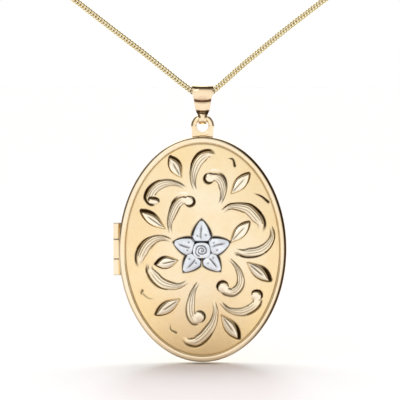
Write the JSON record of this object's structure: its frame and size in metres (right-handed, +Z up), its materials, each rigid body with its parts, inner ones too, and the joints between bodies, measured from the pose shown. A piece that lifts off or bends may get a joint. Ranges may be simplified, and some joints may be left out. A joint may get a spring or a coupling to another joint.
{
  "type": "hinged locket",
  "caption": "Oval gold picture locket with a raised border, engraved scrolls and an applied white flower, opening on a side hinge and hanging from a bail on a fine curb chain.",
  "frame": {"origin": "lowest point of the chain's centreline, inside the bail, where the locket hangs", "axes": "+Z up, the cover faces -Y, the hinge is at -X"},
  "size_m": [0.0614, 0.0061, 0.0657],
  "materials": {
    "satin_gold": "fine satin gold with polished edges",
    "polished_gold": "polished gold",
    "chain_gold": "polished pale gold",
    "white_gold": "bright white gold with engraved lines",
    "spring_steel": "drawn wire",
    "clear_window": "clear sheet",
    "blank_card": "matt ivory card"
  },
  "bodies": {
    "chain": {"chain_left": "chain_gold", "chain_right": "chain_gold", "clasp_jump_ring": "chain_gold", "clasp_ring": "chain_gold", "clasp_spring": "spring_steel", "tag_jump_ring": "chain_gold", "end_tag": "chain_gold"},
    "clasp_slide": {"clasp_bolt": "chain_gold"},
    "bail": {"bail": "polished_gold"},
    "case": {"back_plate": "satin_gold", "back_rim": "polished_gold", "back_frame": "polished_gold", "back_window": "clear_window", "back_photo": "blank_card", "snap_rim": "polished_gold", "hinge_knuckle_top": "polished_gold", "hinge_knuckle_bottom": "polished_gold", "hinge_pin": "polished_gold", "hang_ring": "polished_gold"},
    "cover": {"front_plate": "satin_gold", "front_rim": "polished_gold", "front_frame": "polished_gold", "front_window": "clear_window", "front_photo": "blank_card", "flower_petals": "white_gold", "flower_centre": "white_gold", "hinge_knuckle_middle": "polished_gold"}
  },
  "joints": [
    {"name": "bail_swing", "type": "hinge", "parent": "chain", "child": "bail", "pos_m": [0, 0, 0.00045], "axis": [1, 0, 0], "range_deg": [-60, 60]},
    {"name": "case_swing", "type": "hinge", "parent": "bail", "child": "case", "pos_m": [0, 0, -0.00335], "axis": [1, 0, 0], "range_deg": [-60, 60]},
    {"name": "cover_open", "type": "hinge", "parent": "case", "child": "cover", "pos_m": [-0.01325, 0, -0.0238], "axis": [0, 0, -1], "range_deg": [0, 170]},
    {"name": "clasp_draw", "type": "hinge", "parent": "chain", "child": "clasp_slide", "pos_m": [-0.02879, 0, 0.02167], "axis": [0, 1, 0], "range_deg": [0, 62], "stiffness_Nm_per_rad": 0.001}
  ]
}
